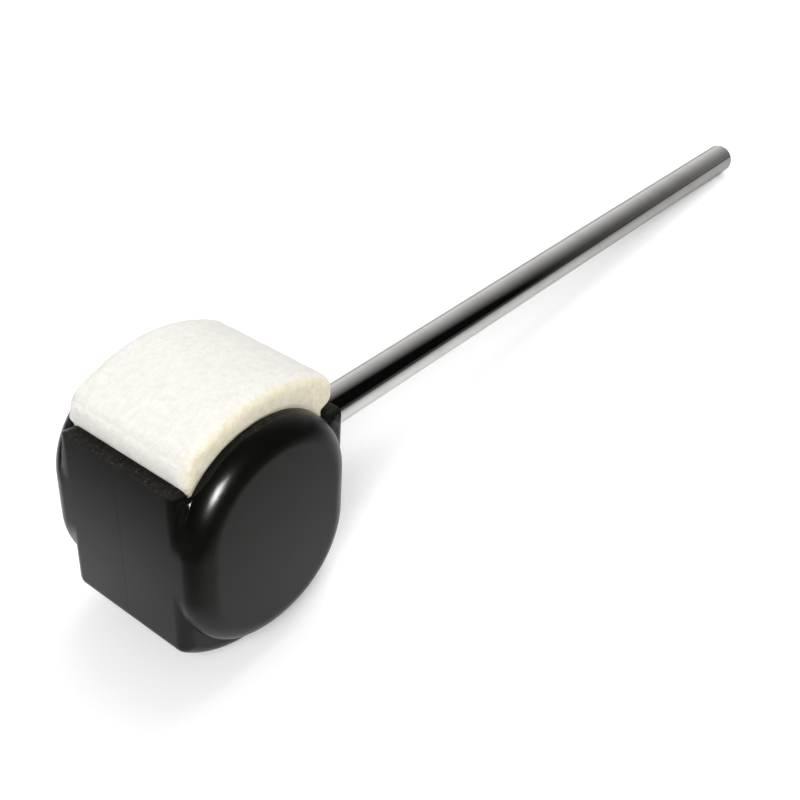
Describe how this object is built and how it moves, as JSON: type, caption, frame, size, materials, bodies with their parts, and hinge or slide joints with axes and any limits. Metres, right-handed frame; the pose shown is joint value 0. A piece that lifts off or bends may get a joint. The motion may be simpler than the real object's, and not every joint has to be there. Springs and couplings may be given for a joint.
{
  "type": "bass drum beater",
  "caption": "Reversible bass drum beater: plated steel shaft with a rounded moulded head, felt on one striking face and hard plastic on the opposite one.",
  "frame": {"origin": "on the shaft's axis at the tail, where the full diameter ends and the chamfer starts", "axes": "+X along the shaft from the head to the tail, +Z out of the felt face, +Y across the head"},
  "size_m": [0.2301, 0.0384, 0.0526],
  "materials": {
    "plated_steel": "polished plating",
    "black_moulding": "satin gloss",
    "white_felt": "pressed wool felt",
    "spring_steel": "plain"
  },
  "bodies": {
    "root": {"shaft": "plated_steel", "left_shell": "black_moulding", "right_shell": "black_moulding", "felt_pad": "white_felt", "anchor_pin": "spring_steel"}
  },
  "joints": []
}
